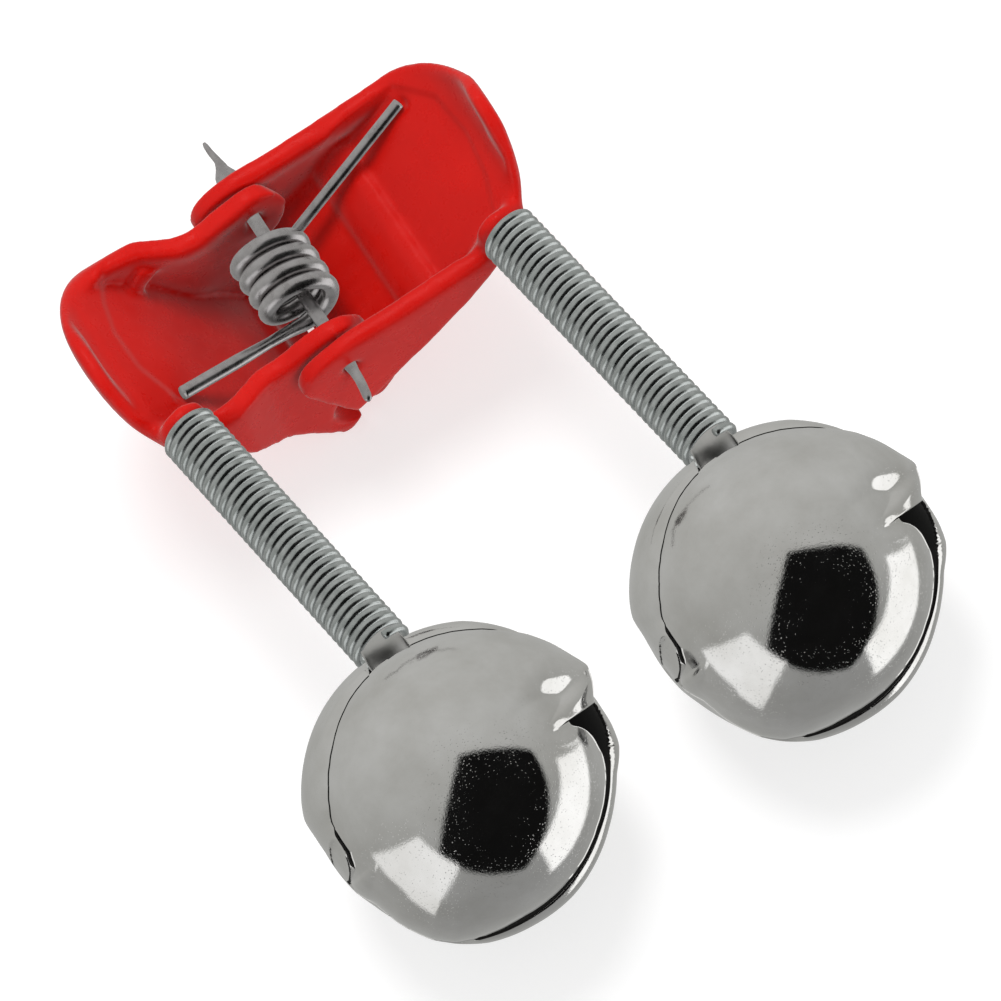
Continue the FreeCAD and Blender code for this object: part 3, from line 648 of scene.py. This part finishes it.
def shell(name, c, rows, pole, cut=None, painted_shade_at=None):
    V = [c + BZ * pole]
    F = []
    for rr, vv, zz in rows:
        V.extend(c + IR * a + IU * b + BZ * z for a, b, z in zip(rr, vv, zz))
    for i in range(NA):
        F.append((0, 1 + i, 1 + (i + 1) % NA))
    # material slot per face: 1 where the painted shade strips go
    painted_shade_marks = [0] * NA
    for j in range(len(rows) - 1):
        for i in range(NA):
            if cut is not None and cut(i, rows[j + 1]):
                continue
            a_, b_ = 1 + j * NA + i, 1 + j * NA + (i + 1) % NA
            F.append((a_, a_ + NA, b_ + NA, b_))
            painted_shade_marks.append(1 if painted_shade_at is not None and painted_shade_at(rows[j][0][i], rows[j][1][i], j / len(rows)) else 0)
    me = bpy.data.meshes.new(name)
    me.from_pydata([tuple(float(q) * MM for q in p) for p in V], [], F)
    me.update()
    ob = bpy.data.objects.new(name, me)
    COLL.objects.link(ob)
    orient_out(ob, c)
    ob.data.materials.append(NICKEL)
    # second slot: near-black painted shade for the inside, the cut rims and the marked strips
    ob.data.materials.append(INSIDE_AND_PAINTED_SHADE)
    ob.data.polygons.foreach_set("material_index", np.array(painted_shade_marks, np.int32))
    sol = ob.modifiers.new("sheet", "SOLIDIFY")
    sol.thickness = 0.00022
    sol.offset = -1.0
    # inner faces and cut rims take the painted shade slot
    sol.material_offset = 1
    sol.material_offset_rim = 1
    apply_all(ob)
    ob.data.shade_smooth()
    ob.visible_glossy = False
    return ob


for s in ("left", "right"):
    c = BELL[s]
    # ---------------- front shell
    NT = 96
    rows = []
    dent_row = np.vectorize(dents)
    for j in range(1, NT + 1):
        t = j / NT
        th = t ** 0.94 * (TH_IN + (TH_MAX - TH_IN) * smoothstep(t, 0.8, 1.0))
        rho = 9.0 * np.sin(th)
        w = smoothstep(t, W_LO, 1.0)
        rho = rho * (1 + np.maximum(RFR / 8.985 - 1, 0) * w)
        z = 0.9 + 9 * np.cos(th)
        r, v = rho * COS, rho * SIN
        z = z - dent_row(r, v)
        rows.append((r, v, z))
    r, v, z = rows[-1]
    # rolled edge, then a short skirt; none in the tear
    torn = smoothstep(ANG, 20, 26) * (1 - smoothstep(ANG, 34, 37))
    for dr, dz in ((0.045, -0.02), (0.065, -0.07), (0.04, -0.12), (-0.03, -0.17), (-0.14, -0.45), (-0.26, -0.70)):
        k = 1 - 0.88 * torn
        rows.append(((RFR + dr * k) * COS, (RFR + dr * k) * SIN, z + dz * k))
    
    def across_tear(i, row):
        if not (ANG[i] < JUMP <= ANG[i] + 360.0 / NA + 1e-6):
            return False
        k = (i + 1) % NA
        # ragged: the strip stays whole a little way out from the tear's tip
        return math.hypot(row[0][k], row[1][k]) > 7.80

    fr = shell(s + "_front_dome", c, rows, 9.9, cut=across_tear)
    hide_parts(s + "_bell_front_shell")
    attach(fr, s + "_bell")
    # ---------------- back shell
    NB = 104
    over = smoothstep(ANG, 62, 80) + (1 - smoothstep(ANG, -139.5, -137.0))
    over = np.clip(over, 0, 1)
    under = smoothstep(ANG, -150.0, -145.0) * (1 - smoothstep(ANG, -92, -83))   # the front's edge lies outside
    flare = smoothstep(ANG, 31, 36) * (1 - over)
    notch = smoothstep(ANG, 111.5, 114.5) * (1 - smoothstep(ANG, 127.5, 129.5))
    slot = smoothstep(ANG, -163, -158) * (1 - smoothstep(ANG, -144.5, -142.0))
    end_r = ring(EDGE, ANG)
    end_z = np.full(NA, 1.55)
    end_r = end_r * (1 - under) + (RFR - 0.30) * under
    end_z = end_z * (1 - under) + 0.5 * under
    end_r = end_r * (1 - over) + (RFR + 0.06 + 0.24 * slot) * over
    end_z = end_z * (1 - over) + (Z_EDGE + 0.12 - 0.25 * slot) * over
    end_r = end_r * (1 - flare) + np.minimum(RBK - 0.1, RFR - 0.45) * flare
    end_z = end_z * (1 - flare) + 0.6 * flare
    end_z = end_z * (1 - notch) + 0.15 * notch
    end_r = end_r * (1 - notch) + (RBK - 0.03) * notch
    for i, a in enumerate(ANG):
        end_z[i] += lip[i] * (0.25 + rag(a, 1.3, 0.5, 2.0))
        end_r[i] += lip[i] * rag(a, 1.9, 0.16, 5.0)
    rows = []
    for j in range(1, NB + 1):
        t = j / NB
        if t <= 0.66:
            th = (t / 0.66) * math.pi / 2
            k1 = float(smoothstep(t / 0.66, 0.74, 1.0))
            rho = math.sin(th) * (9.97 * (1 - k1) + RBK * k1)
            z = np.full(NA, -9.97 * math.cos(th))
        else:
            q = (t - 0.66) / 0.34
            r1, z1 = RBK, end_z * 0.50
            r2, z2 = end_r + (RBK - end_r) * 0.42, end_z * 0.90 - 0.0
            rho = (1 - q) ** 3 * RBK + 3 * (1 - q) ** 2 * q * r1 + 3 * (1 - q) * q * q * r2 + q ** 3 * end_r
            z = 3 * (1 - q) ** 2 * q * z1 + 3 * (1 - q) * q * q * z2 + q ** 3 * end_z
            ridge = over * (1 - notch) * (1 - slot) * smoothstep(ANG, 125, 132) * (1 - 0.6 * smoothstep(ANG, 160, 176))
            z = z + 0.10 * ridge * math.exp(-((q - 0.62) / 0.10) ** 2)
        r, v = rho * COS, rho * SIN
        if t > 0.60:
            # dished face of the folded tab
            px, py = r + 7.47, v + 4.70
            al, ac = px * 0.264 - py * 0.964, px * 0.964 + py * 0.264
            lens = np.clip(1 - (al / 1.42) ** 2 - (ac / 0.50) ** 2, 0, 1)
            d = 0.28 * np.sqrt(lens)
            rim_ = np.exp(-((np.sqrt((al / 1.42) ** 2 + (ac / 0.50) ** 2) - 1.06) / 0.10) ** 2)
            z = z - d + 0.06 * rim_
            r = r + d * 0.25
            v = v + d * 0.15
        rows.append((r, v, z))

    def painted_shade_crease(r0, v0, t):
        """painted shade: near-black strips on the tab's face where the gap behind its folded end lies in shadow"""
        if t < 0.62:
            return False
        px, py = r0 + 7.47, v0 + 4.70
        al, ac = px * 0.264 - py * 0.964, px * 0.964 + py * 0.264
        q = math.hypot(al / 1.42, ac / 0.50)
        return (ac > 0 and al > -0.3 and 0.93 < q < 1.12) or (ac < 0 and -1.1 < al < 0.7 and 1.0 < q < 1.09)

    bk = shell(s + "_back_bowl", c, rows, -9.97, painted_shade_at=painted_shade_crease)
    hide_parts(s + "_bell_back_shell")
    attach(bk, s + "_bell")
    # ---------------- strap between the stem's bore and the dome's edge
    ax = unit(END[s] - SEAT[s])
    e = END[s]
    top_ = unit(BZ - ax * BZ.dot(ax))
    mids = [e - ax * 1.7 + top_ * 0.62, e - ax * 0.5 + top_ * 0.78, e - ax * 0.05 + top_ * 0.72,
            c + BY * 9.28 + BZ * 1.52 + BX * 0.05, c + BY * 8.85 + BZ * 1.22 + BX * 0.1, c + BY * 8.1 + BZ * 1.0 + BX * 0.1]
    P = np.array(mids)
    dd = np.r_[0, np.cumsum(np.linalg.norm(np.diff(P, axis=0), axis=1))]
    tt = np.linspace(0, dd[-1], 40)
    C = np.stack([np.interp(tt, dd, P[:, k]) for k in range(3)], 1)
    for _ in range(10):
        C[1:-1] = 0.25 * C[:-2] + 0.5 * C[1:-1] + 0.25 * C[2:]
    T = np.gradient(C, axis=0)
    T /= np.linalg.norm(T, axis=1)[:, None]
    V, F = [], []
    hw = np.interp(tt, [0, dd[-1] * 0.3, dd[-1] * 0.55, dd[-1]], [0.85, 1.20, 1.46, 1.46])
    # a thin plate, a little crowned across
    xs = np.linspace(-1, 1, 9)
    prof = [(x, -0.5 - 1.5 * x * x) for x in xs] + [(x, 0.5 - 1.5 * x * x) for x in xs[::-1]]
    for k in range(len(C)):
        side = unit(BX - T[k] * BX.dot(T[k]))
        up = np.cross(side, T[k])
        for (px, py) in prof:
            V.append(C[k] + side * px * hw[k] + up * py * 0.26)
    m = len(prof)
    for k in range(len(C) - 1):
        for q in range(m):
            a_, b_ = k * m + q, k * m + (q + 1) % m
            F.append((a_, b_, b_ + m, a_ + m))
    F.append(tuple(range(m - 1, -1, -1)))
    F.append(tuple((len(C) - 1) * m + q for q in range(m)))
    st = link(s + "_strap", V, F)
    bv = st.modifiers.new("edge", "SUBSURF")
    bv.levels = 1
    apply_all(st)
    st.data.shade_smooth()
    paint(st, RUBBED)
    st.visible_glossy = False
    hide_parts(s + "_bell_hanger")
    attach(st, s + "_bell")

# ------------------------------------------------------------------ carried-over nodes
for s in ("left", "right"):
    paint(NODES[s + "_bell_pellet"], PELLET)
    NODES[s + "_bell_pellet"].data.shade_smooth()

# ------------------------------------------------------------------ stage
LO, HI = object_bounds()


def emissive(name, rgb, k=1.0):
    m = bpy.data.materials.new(name)
    m.use_nodes = True
    nt = m.node_tree
    nt.nodes.clear()
    e = nt.nodes.new("ShaderNodeEmission")
    e.inputs["Color"].default_value = (*rgb, 1)
    e.inputs["Strength"].default_value = k
    o = nt.nodes.new("ShaderNodeOutputMaterial")
    nt.links.new(e.outputs[0], o.inputs[0])
    return m


def glossy_only(ob):
    ob.visible_camera = False
    ob.visible_diffuse = False
    ob.visible_shadow = False
    ob.visible_transmission = False
    ob.visible_volume_scatter = False


bm = bmesh.new()
bmesh.ops.create_grid(bm, x_segments=8, y_segments=8, size=1.5)
me = bpy.data.meshes.new("floor")
bm.to_mesh(me)
bm.free()
floor = bpy.data.objects.new("floor", me)
COLL.objects.link(floor)
floor.location = (0, 0, -0.0002)
fm, fnt, fp = material("pale_floor")
fp.inputs["Base Color"].default_value = (0.5, 0.5, 0.5, 1)
fp.inputs["Emission Color"].default_value = (1, 1, 1, 1)
fp.inputs["Emission Strength"].default_value = 0.62
fp.inputs["Roughness"].default_value = 0.9
fp.inputs["Specular IOR Level"].default_value = 0.1
floor.data.materials.append(fm)
floor.visible_glossy = False


MIDB = (BELL["left"] + BELL["right"]) / 2


def panel(name, towards, dist, w, h, rgb, k=1.0):
    """a plain flat rectangle facing the bells, seen only in reflections"""
    d = unit(towards)
    a = unit(np.cross(IU, d))
    b = np.cross(d, a)
    o = MIDB + d * dist
    V = [o + a * (x * w / 2) + b * (y * h / 2) for (x, y) in ((-1, -1), (1, -1), (1, 1), (-1, 1))]
    ob = link(name, V, [(0, 1, 2, 3)], smooth=False)
    ob.data.materials.append(emissive(name + "_face", rgb, k))
    glossy_only(ob)
    return ob


# one black flag and two white softboxes
panel("black_flag", IR * 0.5 - IU * 0.35 + BZ * 0.8, 450, 820, 1050, (0.006, 0.006, 0.006))
panel("softbox_low", -IR * 0.45 - IU * 0.85 + BZ * 0.15, 600, 560, 420, (1, 1, 1), 0.95)
panel("softbox_side", IR * 0.95 - IU * 0.2 - BZ * 0.25, 600, 420, 700, (1, 1, 1), 1.2)

# reflection dome: grey, a little warm, darker low down
bm = bmesh.new()
bmesh.ops.create_uvsphere(bm, u_segments=64, v_segments=32, radius=0.9)
me = bpy.data.meshes.new("grey_sweep")
bm.to_mesh(me)
bm.free()
sweep = bpy.data.objects.new("grey_sweep", me)
COLL.objects.link(sweep)
sweep.location = Vector(MIDB * MM)
sm_ = bpy.data.materials.new("sweep_grey")
sm_.use_nodes = True
nt = sm_.node_tree
nt.nodes.clear()
tc = nd(nt, "ShaderNodeTexCoord")
dot = nd(nt, "ShaderNodeVectorMath", operation="DOT_PRODUCT")
dot.inputs[1].default_value = tuple(unit(IU * 0.9 - IR * 0.45 + BZ * 0.12) / 0.9)
nt.links.new(tc.outputs["Object"], dot.inputs[0])
mr = nd(nt, "ShaderNodeMapRange")
mr.inputs["From Min"].default_value = -1
mr.inputs["From Max"].default_value = 1
nt.links.new(dot.outputs["Value"], mr.inputs["Value"])
cr = ramp(nt, mr.outputs[0], [(0.0, (0.31, 0.312, 0.31)), (0.45, (0.43, 0.432, 0.42)), (1.0, (0.56, 0.56, 0.55))])
em = nd(nt, "ShaderNodeEmission")
nt.links.new(cr.outputs["Color"], em.inputs["Color"])
om = nd(nt, "ShaderNodeOutputMaterial")
nt.links.new(em.outputs[0], om.inputs[0])
sweep.data.materials.append(sm_)
glossy_only(sweep)

world = bpy.data.worlds.new("studio")
bpy.context.scene.world = world
world.use_nodes = True
world.node_tree.nodes["Background"].inputs["Color"].default_value = (1, 1, 1, 1)
world.node_tree.nodes["Background"].inputs["Strength"].default_value = 0.55


def area(name, pos, target, size, power):
    l = bpy.data.lights.new(name, "AREA")
    l.shape = "DISK"
    l.size = size
    l.energy = power
    o = bpy.data.objects.new(name, l)
    COLL.objects.link(o)
    o.location = pos
    o.rotation_mode = "QUATERNION"
    o.rotation_quaternion = (Vector(target) - Vector(pos)).to_track_quat("-Z", "Y")
    o.visible_glossy = False
    return o


mid = (LO + HI) / 2
area("key", Vector(mid) + Vector(BZ * 0.25 + IU * 0.22 - IR * 0.10), mid, 0.16, 0.7)
area("fill", Vector(mid) + Vector(BZ * 0.28 - IU * 0.16 + IR * 0.22), mid, 0.22, 0.35)

# ------------------------------------------------------------------ camera
cam = bpy.data.cameras.new("camera")
co = bpy.data.objects.new("camera", cam)
COLL.objects.link(co)
dist = 600.0
M = Matrix(((RT[0], UPV[0], BACK[0], 0), (RT[1], UPV[1], BACK[1], 0), (RT[2], UPV[2], BACK[2], 0), (0, 0, 0, 1)))
M.translation = Vector((LOOK + BACK * dist) * MM)
co.matrix_world = M
cam.sensor_width = 36
cam.lens = 36 * (dist - 8.0) / 62.96
cam.clip_start = 0.01
cam.clip_end = 10
bpy.context.scene.camera = co
